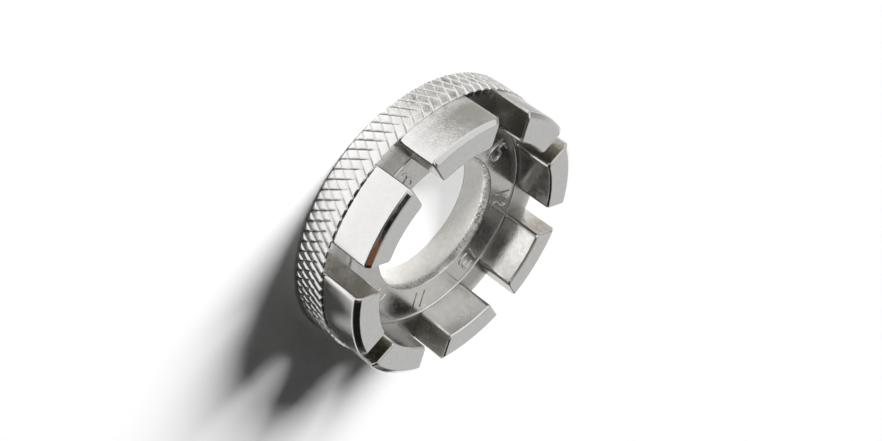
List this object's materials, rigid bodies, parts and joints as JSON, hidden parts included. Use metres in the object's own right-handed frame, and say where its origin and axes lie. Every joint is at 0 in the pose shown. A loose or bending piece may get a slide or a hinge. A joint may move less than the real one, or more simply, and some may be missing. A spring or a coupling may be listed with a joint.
{
  "type": "spoke wrench",
  "caption": "Ring-shaped spoke wrench: plated slotted key ring with jaws round its front, slots of several nipple sizes between them, and a knurled grip band at the back.",
  "frame": {"origin": "centre of the back face, on the ring's axis", "axes": "+Z along the ring's axis towards the jaw tips, +X through the middle of the slot for the thickest nipple"},
  "size_m": [0.042, 0.042, 0.0114],
  "materials": {
    "ring_plate": "bright nickel plate over a casting, slightly pitted",
    "band_plate": "bright nickel plate over a diamond knurl"
  },
  "bodies": {
    "root": {"slotted_ring": "ring_plate", "knurled_band": "band_plate"}
  },
  "joints": []
}
